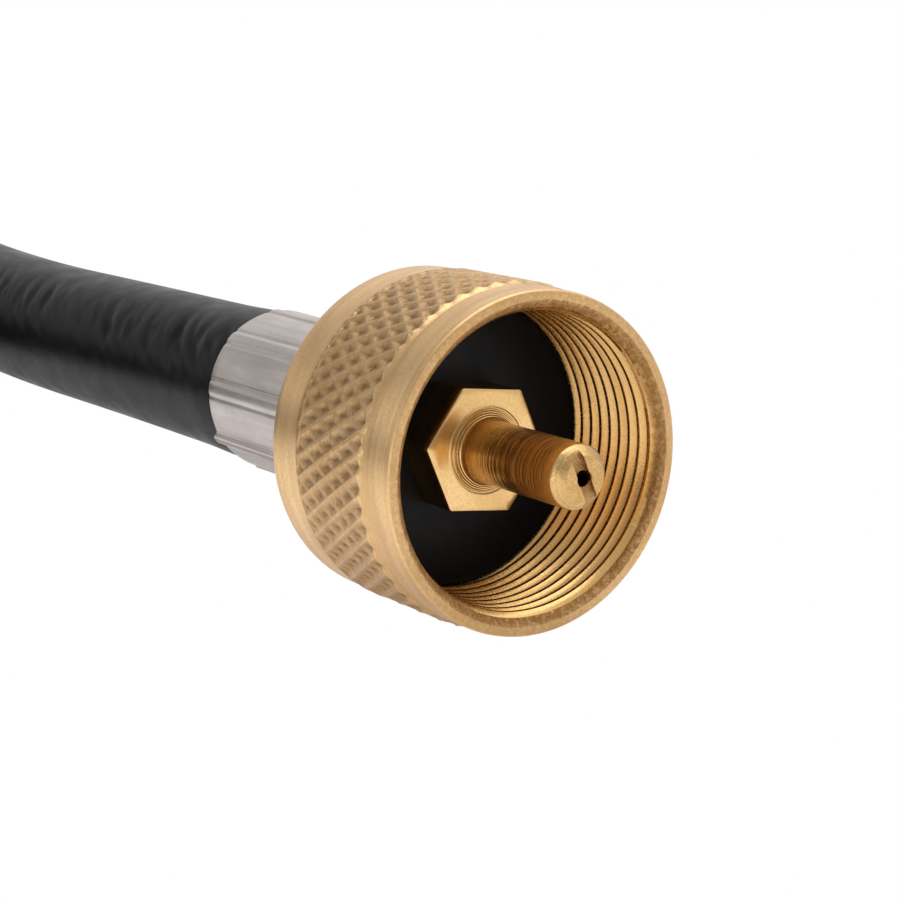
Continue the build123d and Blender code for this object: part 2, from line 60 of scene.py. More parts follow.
# ---------------------------------------------------------------- camera
camera_data = bpy.data.cameras.new("camera")
camera_data.sensor_width = 36
camera_data.lens = 88
camera_data.clip_start = 0.01
camera_data.clip_end = 10
camera = added("camera", camera_data)
bpy.context.scene.camera = camera
camera_right = Vector((0.5596, 0.8288, 0.0)).normalized()
camera_forward = Vector((-0.8113, 0.5479, -0.2040)).normalized()
camera_up = camera_right.cross(camera_forward).normalized()
camera_right = camera_forward.cross(camera_up)
camera_axes = Matrix((camera_right, camera_up, -camera_forward)).transposed()
camera.matrix_world = Matrix.Translation((0.1353, -0.0996, 0.0362)) @ camera_axes.to_4x4()


# ---------------------------------------------------------------- the hose's line, in millimetres
HOSE_R = 7.0
COIL_CENTRE = (-165.0, -76.0)
COIL_R = 76.0
COIL_INNER_R = 66.0
POINTS_A_TURN = 16
LOOP_SWELL = 1 / 0.981  # a quadratic loop lies this much inside its control points
LOW_Z, HIGH_Z = -6.1, 8.1  # the middle of the lower and the upper strand
ENTRY_Z = 4.5
TAIL_Y, PORT_Z = -152.0, -3.6


def ease(value, start, end):
    """0 before start, 1 after end, and a smooth rise between them."""
    t = np.clip((value - start) / (end - start), 0, 1)
    return t * t * (3 - 2 * t)


hose_points = [(-19.6, 0, 0), (-60, 0, 0), (-106, 0, -0.6), (-148, 0, 3.2)]
for number in range(POINTS_A_TURN * 3 // 2):
    angle = 90 + 360 / POINTS_A_TURN * (number + 0.5)
    inward = ease(angle, 270, 440) - ease(angle, 450, 610)
    reach = (COIL_R - (COIL_R - COIL_INNER_R) * inward) * LOOP_SWELL
    height = ENTRY_Z + (HIGH_Z - ENTRY_Z) * ease(angle, 90, 135) - (HIGH_Z - LOW_Z) * ease(angle, 290, 430)
    hose_points.append(
        (
            COIL_CENTRE[0] + reach * math.cos(math.radians(angle)),
            COIL_CENTRE[1] + reach * math.sin(math.radians(angle)),
            height,
        )
    )
hose_points += [(-150, TAIL_Y, LOW_Z), (-130, TAIL_Y, -5.2), (-111, TAIL_Y, PORT_Z), (-89.1, TAIL_Y, PORT_Z)]


def nurbs_line(name, points):
    """A curve of one quadratic NURBS spline with these control points."""
    data = bpy.data.curves.new(name, "CURVE")
    data.dimensions = "3D"
    data.resolution_u = 12
    spline = data.splines.new("NURBS")
    spline.points.add(len(points) - 1)
    for point, place in zip(spline.points, points):
        point.co = (*(c * MM for c in place), 1)
    spline.order_u = 3
    spline.use_endpoint_u = True
    return added(name, data)


hose_line = nurbs_line("hose_line", hose_points)
line_mesh = bpy.data.meshes.new_from_object(hose_line)
hose_path = np.array([v.co for v in line_mesh.vertices], float) / MM
bpy.data.objects.remove(hose_line)


# ---------------------------------------------------------------- materials
def ramp_node(tree, source, stops):
    """source through (position, value or colour) stops."""
    made = tree.nodes.new("ShaderNodeValToRGB")
    while len(made.color_ramp.elements) < len(stops):
        made.color_ramp.elements.new(0.5)
    for element, (position, value) in zip(made.color_ramp.elements, stops):
        element.position = position
        element.color = (value, value, value, 1) if isinstance(value, (int, float)) else (*value, 1)
    tree.links.new(source, made.inputs["Fac"])
    return made.outputs["Color"]


class Look:
    """A node material under construction; every pattern is placed in its piece's own frame, in metres."""

    def __init__(self, name):
        self.material = bpy.data.materials.new(name)
        self.material.use_nodes = True
        self.tree = self.material.node_tree
        self.shader = self.tree.nodes["Principled BSDF"]
        self.place = self.node("ShaderNodeTexCoord").outputs["Object"]

    def node(self, kind, **settings):
        made = self.tree.nodes.new(kind)
        for key, value in settings.items():
            setattr(made, key, value)
        return made

    def join(self, source, target):
        self.tree.links.new(source, target)

    def give(self, **values):
        """Sets the shader's own sockets; underscores stand for spaces."""
        for key, value in values.items():
            self.shader.inputs[key.replace("_", " ")].default_value = value

    def noise(self, scale, detail=3.0, roughness=0.55, stretch=(1, 1, 1), place=None, distortion=0.0):
        """Noise of about scale features a metre, stretched by axis."""
        mapping = self.node("ShaderNodeMapping")
        mapping.inputs["Scale"].default_value = stretch
        self.join(place or self.place, mapping.inputs["Vector"])
        made = self.node("ShaderNodeTexNoise")
        made.inputs["Scale"].default_value = scale
        made.inputs["Detail"].default_value = detail
        made.inputs["Roughness"].default_value = roughness
        made.inputs["Distortion"].default_value = distortion
        self.join(mapping.outputs["Vector"], made.inputs["Vector"])
        return made.outputs["Fac"]

    def ramp(self, source, *stops):
        return ramp_node(self.tree, source, stops)

    def sum(self, operation, first, second, clamp=False):
        """first and second are numbers or value sockets."""
        made = self.node("ShaderNodeMath", operation=operation, use_clamp=clamp)
        for socket, value in zip(made.inputs, (first, second)):
            if isinstance(value, (int, float)):
                socket.default_value = value
            else:
                self.join(value, socket)
        return made.outputs["Value"]

    def mix(self, share, first, second, blend="MIX"):
        """first and second are colours or colour sockets."""
        made = self.node("ShaderNodeMix", data_type="RGBA", blend_type=blend)
        if isinstance(share, (int, float)):
            made.inputs["Factor"].default_value = share
        else:
            self.join(share, made.inputs["Factor"])
        for socket, value in ((made.inputs[6], first), (made.inputs[7], second)):
            if isinstance(value, tuple):
                socket.default_value = (*value, 1)
            else:
                self.join(value, socket)
        return made.outputs[2]

    def attribute(self, name):
        return self.node("ShaderNodeAttribute", attribute_name=name).outputs["Fac"]

    def colour(self, source):
        self.join(source, self.shader.inputs["Base Color"])

    def roughness(self, source):
        self.join(source, self.shader.inputs["Roughness"])

    def bump(self, *layers):
        """Each layer is (height socket, depth in millimetres)."""
        normal = None
        for height, depth in layers:
            made = self.node("ShaderNodeBump")
            made.inputs["Distance"].default_value = depth * MM
            made.inputs["Strength"].default_value = 1.0
            self.join(height, made.inputs["Height"])
            if normal is not None:
                self.join(normal, made.inputs["Normal"])
            normal = made.outputs["Normal"]
        self.join(normal, self.shader.inputs["Normal"])


def brass_look(name, light, dark, roughness, grain, streak, streak_scale, dirt_and_shade=(0.17, 0.08, 0.028)):
    """Turned brass: streaks round the X axis, a fine grain, and the piece's own cut, bore and scuff; where
    cut is high the colour darkens with dirt and painted shade, and in the bore's thread roots with painted
    shade.
    """
    look = Look(name)
    look.give(Metallic=1.0)
    streaks = look.noise(1, detail=3, roughness=0.6, stretch=(streak_scale, 50, 50))
    fine = look.noise(4200, detail=4, roughness=0.7)
    patches = look.noise(1, detail=4, stretch=(420, 150, 150))
    colour = look.mix(look.ramp(streaks, (0.3, 0.0), (0.72, 1.0)), dark, light)
    colour = look.mix(look.ramp(patches, (0.4, 0.0), (0.75, 0.8)), colour, tuple(0.86 * c for c in dark))
    mottle = look.ramp(fine, (0.42, 0.0), (0.68, 0.45))
    colour = look.mix(mottle, colour, tuple(0.8 * c for c in dark))
    # Dirt and painted shade: the colour darkens to a dark brown in the pits, holes and thread roots that the
    # cut mark holds.
    cut = look.attribute("cut")
    pits = look.ramp(look.noise(3600, detail=2, roughness=0.5), (0.3, 1.0), (0.42, 0.0))
    colour = look.mix(look.sum("MULTIPLY", pits, cut, clamp=True), colour, dirt_and_shade)
    colour = look.mix(look.ramp(cut, (0.0, 0.0), (0.1, 0.22), (0.5, 0.4), (1.0, 0.85)), colour, dirt_and_shade)
    bore = look.attribute("bore")
    wall = look.mix(look.ramp(streaks, (0.3, 0.0), (0.7, 1.0)), (0.72, 0.43, 0.15), (0.88, 0.58, 0.25))
    in_bore = look.ramp(bore, (0.1, 0.0), (0.28, 1.0))
    colour = look.mix(in_bore, colour, wall)
    # Painted shade: the bore's thread roots darken to a deep brown.
    colour = look.mix(look.ramp(bore, (0.4, 0.0), (0.9, 0.45)), colour, (0.40, 0.19, 0.055))
    worn = look.ramp(look.noise(2200, detail=5, roughness=0.8), (0.38, 0.25), (0.58, 1.0))
    scuffed = look.sum("MULTIPLY", look.attribute("scuff"), worn)
    colour = look.mix(scuffed, colour, (0.37, 0.185, 0.055))
    look.colour(colour)
    rough = look.ramp(fine, (0.2, roughness - 0.02 - 0.08 * grain), (0.8, roughness + 0.03 + 0.1 * grain))
    rough = look.sum("ADD", rough, look.sum("MULTIPLY", scuffed, 0.12))
    look.roughness(look.sum("SUBTRACT", rough, look.sum("MULTIPLY", in_bore, 0.12)))
    layers = [(streaks, 0.02 * streak), (fine, 0.02 * grain), (look.noise(9000, detail=2), 0.006 * grain)]
    grit = look.noise(2600, detail=4, roughness=0.7)
    grit = look.sum("MULTIPLY", grit, look.ramp(cut, (0.02, 0.0), (0.15, 1.0)))
    look.bump(*layers, (scuffed, 0.05), (grit, 0.09))
    return look.material


nut_brass = brass_look("nut_brass", (0.90, 0.63, 0.34), (0.70, 0.44, 0.20), 0.36, 0.6, 0.6, 2600)
fitting_brass = brass_look("fitting_brass", (0.90, 0.63, 0.31), (0.66, 0.40, 0.145), 0.22, 0.15, 2.2, 4200)


def steel_look():
    look = Look("stainless")
    look.give(Metallic=1.0)
    drawn = look.noise(1, detail=4, roughness=0.6, stretch=(140, 1500, 1500))
    patches = look.noise(260, detail=3)
    colour = look.mix(look.ramp(drawn, (0.3, 0.0), (0.7, 1.0)), (0.49, 0.44, 0.41), (0.61, 0.555, 0.52))
    colour = look.mix(look.ramp(patches, (0.45, 0.0), (0.8, 0.5)), colour, (0.42, 0.365, 0.335))
    # Painted reflection and shade: a brownish grey along each ferrule rib's middle and flanks, where cut is
    # high.
    colour = look.mix(look.ramp(look.attribute("cut"), (0.2, 0.0), (1.0, 0.75)), colour, (0.26, 0.19, 0.17))
    look.colour(colour)
    look.roughness(look.ramp(look.noise(1800), (0.2, 0.3), (0.8, 0.46)))
    look.bump((drawn, 0.012), (look.noise(5000), 0.006))
    return look.material


stainless = steel_look()


def rubber_look(name, colour, worn, roughness, shine, grain):
    look = Look(name)
    look.give(Specular_IOR_Level=shine)
    patches = look.noise(90, detail=4)
    fine = look.noise(5200, detail=3, roughness=0.6)
    tone = look.mix(look.ramp(patches, (0.3, 0.0), (0.75, 1.0)), colour, worn)
    specks = look.ramp(look.noise(1500, detail=2), (0.7, 0.0), (0.78, 0.5))
    look.colour(look.mix(specks, tone, tuple(min(1.0, 2.2 * c) for c in worn)))
    look.roughness(look.ramp(look.noise(400, detail=4), (0.25, roughness - 0.06), (0.8, roughness + 0.1)))
    look.bump((look.noise(900, detail=3), 0.02 * grain), (fine, 0.008 * grain))
    return look.material


hose_rubber = rubber_look("hose_rubber", (0.0035, 0.0032, 0.0042), (0.008, 0.0076, 0.0089), 0.34, 0.1, 1.0)
black_rubber = rubber_look("black_rubber", (0.003, 0.003, 0.0035), (0.005, 0.005, 0.006), 0.42, 0.16, 0.6)


def casting_look():
    look = Look("grey_casting")
    look.give(Metallic=0.55)
    grain = look.noise(1400, detail=5, roughness=0.65)
    patches = look.noise(70, detail=4)
    tone = look.mix(look.ramp(patches, (0.3, 0.0), (0.75, 1.0)), (0.30, 0.305, 0.31), (0.40, 0.405, 0.41))
    specks = look.ramp(look.noise(2400, detail=2), (0.24, 0.7), (0.34, 0.0))
    look.colour(look.mix(specks, tone, (0.16, 0.16, 0.165)))
    look.roughness(look.ramp(grain, (0.3, 0.42), (0.75, 0.62)))
    look.bump((grain, 0.10), (look.noise(5200, detail=3), 0.02))
    return look.material


def zinc_look():
    look = Look("zinc_steel")
    look.give(Metallic=1.0)
    patches = look.noise(700, detail=3)
    tone = look.mix(look.ramp(patches, (0.3, 0.0), (0.7, 1.0)), (0.58, 0.59, 0.60), (0.74, 0.73, 0.69))
    tint = look.ramp(look.noise(240, detail=2), (0.45, 0.0), (0.8, 0.35))
    look.colour(look.mix(tint, tone, (0.62, 0.60, 0.42)))
    look.roughness(look.ramp(look.noise(2600), (0.25, 0.2), (0.8, 0.4)))
    look.bump((look.noise(4200, detail=3), 0.012))
    return look.material


def plastic_look():
    look = Look("black_plastic")
    patches = look.noise(300, detail=3)
    tone = look.mix(look.ramp(patches, (0.3, 0.0), (0.8, 1.0)), (0.012, 0.012, 0.013), (0.024, 0.024, 0.026))
    look.colour(tone)
    look.roughness(look.ramp(look.noise(2200, detail=3), (0.3, 0.36), (0.75, 0.5)))
    look.bump((look.noise(3800, detail=2, roughness=0.4), 0.03))
    return look.material


def strap_look():
    """Woven tape: a close grid of raised cells with fuzz over them."""
    look = Look("strap")
    weave = look.node("ShaderNodeTexVoronoi", feature="F1", distance="CHEBYCHEV")
    weave.inputs["Scale"].default_value = 1900
    weave.inputs["Randomness"].default_value = 0.25
    look.join(look.place, weave.inputs["Vector"])
    cells = weave.outputs["Distance"]
    fuzz = look.noise(6000, detail=4, roughness=0.7)
    # Painted shade: the tape is lighter on its raised cells and darker in the grooves between them.
    tone = look.mix(look.ramp(cells, (0.1, 1.0), (0.6, 0.0)), (0.012, 0.012, 0.014), (0.045, 0.045, 0.05))
    look.colour(look.mix(look.ramp(fuzz, (0.55, 0.0), (0.8, 0.6)), tone, (0.07, 0.07, 0.075)))
    look.roughness(look.ramp(fuzz, (0.3, 0.75), (0.8, 0.95)))
    look.give(Sheen_Weight=0.3)
    look.bump((look.ramp(cells, (0.0, 1.0), (0.6, 0.0)), 0.12), (fuzz, 0.05))
    return look.material


grey_casting = casting_look()
zinc_steel = zinc_look()
black_plastic = plastic_look()
strap = strap_look()


# ---------------------------------------------------------------- mesh helpers, in millimetres
def ride_mesh(name, points, faces, body, material, replaced=(), sharp=35):
    """A mesh piece, normals out, that moves with body, unless that is None, and stands for replaced."""
    mesh = bpy.data.meshes.new(name)
    mesh.from_pydata((np.asarray(points, float) * MM).tolist(), [], faces)
    work = bmesh.new()
    work.from_mesh(mesh)
    bmesh.ops.remove_doubles(work, verts=work.verts, dist=2e-7)
    bmesh.ops.dissolve_degenerate(work, edges=work.edges, dist=1e-7)
    bmesh.ops.recalc_face_normals(work, faces=work.faces)
    work.to_mesh(mesh)
    work.free()
    mesh.shade_smooth()
    mesh.set_sharp_from_angle(angle=math.radians(sharp))
    mesh.materials.append(material)
    made = added(name, mesh)
    if body:
        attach(made, body)
    if replaced:
        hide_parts(*replaced)
    return made


def grid_faces(rows, columns, closed=True, first=0):
    """Quads of a grid whose columns wrap round, and its rows too if closed."""
    faces = []
    for row in range(rows if closed else rows - 1):
        here, there = first + row * columns, first + (row + 1) % rows * columns
        for column in range(columns):
            beside = (column + 1) % columns
            faces.append((here + column, here + beside, there + beside, there + column))
    return faces


def turned(xs, rs, columns, turn=0.0, origin=(0, 0, 0), upright=False):
    """Points at distances xs along +X, or +Z if upright, and radii rs, by row and column; turn in degrees."""
    angle = np.radians(turn) + np.arange(columns) * TURN / columns
    along = np.broadcast_to(np.asarray(xs, float).reshape(len(xs), -1), (len(xs), columns))
    radius = np.broadcast_to(np.asarray(rs, float).reshape(len(rs), -1), (len(rs), columns))
    flat, high = radius * np.cos(angle), radius * np.sin(angle)
    points = (flat, high, along) if upright else (along, flat, high)
    return (np.stack(points, -1) + np.asarray(origin, float)).reshape(-1, 3)


def softened(outline, radius, steps=3):
    """A closed outline of (x, r) points with each corner off the axis rounded to radius at most."""
    made = []
    outline = [np.array(p, float) for p in outline]
    for before, here, after in zip([outline[-1], *outline[:-1]], outline, [*outline[1:], outline[0]]):
        first, second = before - here, after - here
        reach = min(radius, 0.45 * np.linalg.norm(first), 0.45 * np.linalg.norm(second))
        if here[1] < 1e-6 or reach < 1e-6:
            made.append(here)
            continue
        start = here + first / np.linalg.norm(first) * reach
        end = here + second / np.linalg.norm(second) * reach
        for t in np.linspace(0, 1, steps + 1):
            made.append((1 - t) ** 2 * start + 2 * t * (1 - t) * here + t**2 * end)
    return np.array(made)


def lathe(name, outline, body, material, slot, replaced=(), rounding=0.2, columns=180, **place):
    """A closed outline of (x, r) points turned about an axis, its corners rounded."""
    profile = softened(outline, rounding)
    points = turned(profile[:, 0], profile[:, 1], columns, **place)
    return ride_mesh(name, points, grid_faces(len(profile), columns), body, material, replaced)


def hex_radius(columns, flats, corner):
    """Radius of a hexagon with one corner at column 0, its corners rounded off to corner."""
    angle = np.arange(columns) * 360 / columns
    from_flat = np.radians((angle % 60) - 30)
    return np.minimum(flats / 2 / np.cos(from_flat), corner)


def bar_faces(count, sides, first=0):
    """Quads of an open tube of count rings with sides points each, with a cap at either end."""
    faces = grid_faces(count, sides, closed=False, first=first)
    faces.append(tuple(first + i for i in reversed(range(sides))))
    faces.append(tuple(first + (count - 1) * sides + i for i in range(sides)))
    return faces


def steady(rows, columns):
    """The distances and the radii of (x, r) rows, each radius repeated in every column."""
    return [x for x, _ in rows], [np.broadcast_to(r, columns) for _, r in rows]


def apply_modifiers(piece, sharp):
    """Makes piece's mesh what its modifiers give, smooth but for edges sharper than sharp degrees."""
    bpy.context.view_layer.update()
    evaluated = piece.evaluated_get(bpy.context.evaluated_depsgraph_get())
    finished = bpy.data.meshes.new_from_object(evaluated)
    piece.modifiers.clear()
    piece.data = finished
    finished.shade_smooth()
    finished.set_sharp_from_angle(angle=math.radians(sharp))


def carve(target, *cutters):
    """target's mesh with the cutters' shapes taken out; the cutters are removed."""
    for cutter in cutters:
        change = target.modifiers.new("carve", "BOOLEAN")
        change.solver = "EXACT"
        change.object = cutter
    apply_modifiers(target, 35)
    for cutter in cutters:
        bpy.data.objects.remove(cutter)


def plain_mesh(name, points, faces):
    """A mesh object that is only worked with, such as a cutter."""
    mesh = bpy.data.meshes.new(name)
    mesh.from_pydata((np.asarray(points, float) * MM).tolist(), [], faces)
    work = bmesh.new()
    work.from_mesh(mesh)
    bmesh.ops.recalc_face_normals(work, faces=work.faces)
    work.to_mesh(mesh)
    work.free()
    return added(name, mesh)


def bevelled(node, body, material, width=0.3, segments=2, limit=32):
    """A copy of a CAD node with its flat faces joined up again and its edges rounded."""
    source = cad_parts[node]
    mesh = source.data.copy()
    work = bmesh.new()
    work.from_mesh(mesh)
    bmesh.ops.remove_doubles(work, verts=work.verts, dist=2e-6)
    bmesh.ops.dissolve_limit(
        work, angle_limit=math.radians(3), verts=work.verts, edges=work.edges, use_dissolve_boundaries=False
    )
    bmesh.ops.recalc_face_normals(work, faces=work.faces)
    work.to_mesh(mesh)
    work.free()
    mesh.materials.clear()
    mesh.materials.append(material)
    made = added(node + "_soft", mesh)
    bevel = made.modifiers.new("bevel", "BEVEL")
    bevel.width = width * MM
    bevel.segments = segments
    bevel.limit_method = "ANGLE"
    bevel.angle_limit = math.radians(limit)
    bevel.harden_normals = False
    bevel.use_clamp_overlap = True
    apply_modifiers(made, 40)
    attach(made, body)
    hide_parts(node)
    return made


def marked(piece, value_at, name="cut"):
    """Stores value_at of each point's place in millimetres on a finished mesh, for its material."""
    places = np.zeros(len(piece.data.vertices) * 3)
    piece.data.vertices.foreach_get("co", places)
    layer = piece.data.attributes.new(name, "FLOAT", "POINT")
    layer.data.foreach_set("value", np.asarray(value_at(places.reshape(-1, 3) / MM), np.float32).ravel())


# ---------------------------------------------------------------- swivel nut
NUT_COLUMNS = 612
THREAD_PITCH = 1.27
THREAD_CREST, THREAD_DEPTH = 12.012, 0.5
# Corners of the thread's section: distance from a crest's middle and share of the depth
THREAD_CORNERS = ((0.12, 0.0), (0.19, 0.07), (0.55, 1.0), (0.72, 1.0), (1.08, 0.07), (1.15, 0.0))
FIRST_CREST = -1.14
THREAD_START, THREAD_END = -0.6, -12.2
THREAD_TURNS = 13
MOUTH_R, NUT_BAND_R, REAR_BAND_R = 12.95, 13.8, 13.9
NUT_END, NUT_FLOOR, NUT_HOLE_R = -17.5, -14.94, 6.27
KNURL_LINES, KNURL_STEP = 51, 2.92
KNURL_TOP, KNURL_DEPTH = 14.1, 0.32
KNURL_START, KNURL_END = -3.5, -13.2
KNURL_ROWS, ROWS_A_STEP = 43, 12


def knurl_cut(x, turn_share):
    """Depth share of the pressed diamonds: 0 on the crossing ridges, 1 at the bottom of a diamond."""
    depth = 1.0
    for lean, lowered in ((1, 0.0), (-1, 0.2)):
        phase = (KNURL_LINES * turn_share + lean * x / KNURL_STEP) % 1
        depth = np.minimum(depth, lowered + (1 - lowered) * (1 - np.abs(2 * phase - 1)))
    return depth


def nut_outside(x, turn_share):
    """Radius outside, from the front band over the knurl to the rear band."""
    shoulder = 0.2 * ease(-x, -KNURL_END, 0.4 - KNURL_END)
    base = 13.78 + 0.32 * np.clip((KNURL_START - x) / 0.45, 0, 1) - shoulder
    knurled = np.clip((-x - 3.6) / 0.3, 0, 1) * (1 - ease(-x, 12.9, 13.35))
    pressed = KNURL_TOP - KNURL_DEPTH * knurled * knurl_cut(x, turn_share)
    return np.minimum(base, pressed)


def thread_cut(x, turn_share):
    """0 on a crest, 1 in the root, of a right-handed thread."""
    from_crest = (x - FIRST_CREST - THREAD_PITCH * turn_share) % THREAD_PITCH
    places, depths = zip((0, 0), *THREAD_CORNERS, (THREAD_PITCH, 0))
    return np.interp(from_crest, places, depths)


def nut_inside(x, turn_share):
    """Radius of the threaded bore with its lead-in."""
    thread = THREAD_CREST + THREAD_DEPTH * thread_cut(x, turn_share)
    return np.maximum(thread, np.interp(-x, [0, 0.6, 1.15], [MOUTH_R, 12.35, 12.0]))


share = np.arange(NUT_COLUMNS) / NUT_COLUMNS
# The lead-in, the mouth and the front band
nut_rows = [(THREAD_START, nut_inside(THREAD_START, share)), (-0.3, 12.65), (0, MOUTH_R), (0, 13.06)]
nut_rows += [(0, 13.62), (-0.04, 13.71), (-0.12, 13.77)]
nut_rows += [(x, NUT_BAND_R) for x in (-0.3, -1.4, -2.4, -3.1, -3.3)]
knurl_rows = KNURL_START - np.arange(KNURL_ROWS) * KNURL_STEP / ROWS_A_STEP
nut_rows += [(x, nut_outside(x, share)) for x in knurl_rows]
# The rear band, the end and the floor that bears on the stem's flange
nut_rows += [(x, REAR_BAND_R) for x in (-14.3, -15.5, -16.7)]
nut_rows += [(-17.15, 13.88), (-17.35, 13.8), (-17.46, 13.66)]
nut_rows += [(NUT_END, r) for r in (13.5, 10, 6.45)]
nut_rows += [(-17.35, NUT_HOLE_R), (NUT_FLOOR, NUT_HOLE_R), (NUT_FLOOR, 12.4), (-12.4, 12.45)]
nut_rows += [(THREAD_END, nut_inside(THREAD_END, share))]
nut_points = turned(*steady(nut_rows, NUT_COLUMNS), NUT_COLUMNS)

# The thread's own rows follow its corners and climb one pitch a turn, so each row's end joins the start of
# the row that lies one turn's rows before it
thread_xs = []
for turn_number in range(THREAD_TURNS):
    for corner, _ in reversed(THREAD_CORNERS):
        climb = FIRST_CREST + corner + THREAD_PITCH * (share + 1 - turn_number)
        thread_xs.append(np.clip(climb, THREAD_END, THREAD_START))
thread_xs = np.array(thread_xs)
thread_points = turned(thread_xs, nut_inside(thread_xs, share), NUT_COLUMNS)
thread_first = len(nut_points)
thread_faces = []
seam_step = NUT_COLUMNS * (1 + len(THREAD_CORNERS))
for row in range(len(thread_xs) - 1):
    for column in range(NUT_COLUMNS):
        here = thread_first + row * NUT_COLUMNS + column
        beside = here + 1 if column < NUT_COLUMNS - 1 else here + 1 - seam_step
        if beside >= thread_first:
            thread_faces.append((here, beside, beside + NUT_COLUMNS, here + NUT_COLUMNS))


def ridge_faces(points, rows, columns):
    """The grid's quads as triangles, each cut along the diagonal that lies further from the X axis."""
    radius = np.hypot(points[:, 1], points[:, 2])
    faces = []
    for a, b, c, d in grid_faces(rows, columns, closed=False):
        along_ac = radius[a] + radius[c] >= radius[b] + radius[d]
        faces += [(a, b, c), (a, c, d)] if along_ac else [(a, b, d), (b, c, d)]
    return faces


coupling = ride_mesh(
    "coupling_nut_turned",
    np.concatenate([nut_points, thread_points]),
    ridge_faces(nut_points, len(nut_rows), NUT_COLUMNS) + thread_faces,
    "nut",
    nut_brass,
    ["coupling_nut"],
    sharp=50,
)


def nut_cut(places):
    """0 on the knurl's ridges and off the knurl, 1 at the bottom of a diamond; the brass darkens there with
    dirt and painted shade.
    """
    radius = np.hypot(places[:, 1], places[:, 2])
    on_knurl = (places[:, 0] < -4.2) * (places[:, 0] > KNURL_END) * (radius > 13.2)
    return np.clip((KNURL_TOP - radius) / KNURL_DEPTH, 0, 1) * on_knurl


def nut_bore(places):
    """0 outside; in the bore 0.3 on a thread's crest and 1 in its root, where the brass gets painted shade.
    """
    radius = np.hypot(places[:, 1], places[:, 2])
    root = np.clip((radius - THREAD_CREST) / THREAD_DEPTH, 0, 1) * (places[:, 0] < -1.0)
    return np.where((radius < 12.8) & (radius > 7) & (places[:, 0] < -0.5), 0.3 + 0.7 * root, 0)


def nut_scuff(places):
    """1 on the mouth's chamfer, and a little on its flat face."""
    radius = np.hypot(places[:, 1], places[:, 2])
    chamfer = (places[:, 0] > -0.7) & (np.abs(radius - 12.65) < 0.32)
    return np.where(chamfer, 1.0, 0.45 * (places[:, 0] > -0.03))


marked(coupling, nut_cut)
marked(coupling, nut_bore, "bore")
marked(coupling, nut_scuff, "scuff")

# ---------------------------------------------------------------- what the nut holds
WASHER_FRONT, WASHER_BACK = -10.84, -12.84
WASHER_HOLE_R, WASHER_R = 3.42, 11.87
washer_outline = [(WASHER_FRONT, WASHER_HOLE_R), (WASHER_FRONT, WASHER_R)]
washer_outline += [(WASHER_BACK, WASHER_R), (WASHER_BACK, WASHER_HOLE_R)]
lathe(
    "seal_washer_moulded",
    washer_outline,
    "hose_assembly",
    black_rubber,
    "black_rubber",
    ["seal_washer"],
    rounding=0.12,
    columns=240,
)

HEX_COLUMNS = 360
HEX_TURN = -6.8
HEX_FLATS, HEX_CORNER_R = 10.0, 5.72
HEX_BACK, HEX_FRONT = -10.86, -6.95
SHANK_R, PIN_R = 3.39, 2.6
PIN_END, PIN_HOLE_R = 6.1, 0.65
PIN_RINGS = 5
hex_outer = hex_radius(HEX_COLUMNS, HEX_FLATS, HEX_CORNER_R)
probe_rows = [(-17.8, 0), (-17.8, 3.1), (-17.5, SHANK_R), (HEX_BACK, SHANK_R), (HEX_BACK, hex_outer - 0.05)]
probe_rows += [(x, hex_outer) for x in (-10.8, -9.5, -8.0, -7.06)]
probe_rows += [(-6.985, hex_outer - 0.03), (-6.96, hex_outer - 0.1), (HEX_FRONT, 4.6), (HEX_FRONT, 3.72)]
probe_rows.append((-6.93, 3.62))
for t in np.linspace(0, 1, 25):  # fine turned rings where the pin meets the hexagon
    probe_rows.append((-6.9 + 0.45 * t**1.6 + 0.022 * math.sin(PIN_RINGS * TURN * t), 3.56 - 0.8 * t))
probe_rows += [(-6.38, 2.7), (-6.22, 2.63), (-6.0, PIN_R)]
probe_rows += [(x, PIN_R) for x in (*np.linspace(-5, 4, 10), 5.1)]
probe_rows += [(5.19, 2.58), (5.27, 2.53), (5.6, 2.24), (6.0, 1.87), (6.06, 1.8)]
probe_rows += [(PIN_END, r) for r in (1.7, 1.2, 0)]
probe = ride_mesh(
    "valve_probe_turned",
    turned(*steady(probe_rows, HEX_COLUMNS), HEX_COLUMNS, turn=HEX_TURN),
    grid_faces(len(probe_rows), HEX_COLUMNS, closed=False),
    "hose_assembly",
    fitting_brass,
    ["valve_probe"],
)

CUTTER_END = 6.3
HOLE_COLUMNS = 32
hole_rows = [(-4.0, 0), (-4.0, PIN_HOLE_R), (6.02, PIN_HOLE_R), (CUTTER_END, 0.9), (CUTTER_END, 0)]
hole = plain_mesh(
    "hole",
    turned([x for x, _ in hole_rows], [max(r, 0.001) for _, r in hole_rows], HOLE_COLUMNS),
    bar_faces(len(hole_rows), HOLE_COLUMNS),
)
SLOT_TURN = math.radians(-67)
SLOT_FLOOR, SLOT_SLOPE = 5.78, 0.03
# The slot's outline, across it and along it, with sides that aren't quite straight
SLOT_OUTLINE = ((-0.55, -4), (0.58, -4), (0.6, -1), (0.54, 0.5), (0.58, 4), (-0.54, 4), (-0.6, 1))
slot_ring = []
for x in (SLOT_FLOOR, CUTTER_END):
    for across_slot, along_slot in SLOT_OUTLINE:
        slot_ring.append(
            (
                x + SLOT_SLOPE * along_slot,
                along_slot * math.cos(SLOT_TURN) - across_slot * math.sin(SLOT_TURN),
                along_slot * math.sin(SLOT_TURN) + across_slot * math.cos(SLOT_TURN),
            )
        )
tip_slot = plain_mesh("tip_slot", slot_ring, bar_faces(2, len(SLOT_OUTLINE)))
carve(probe, hole, tip_slot)


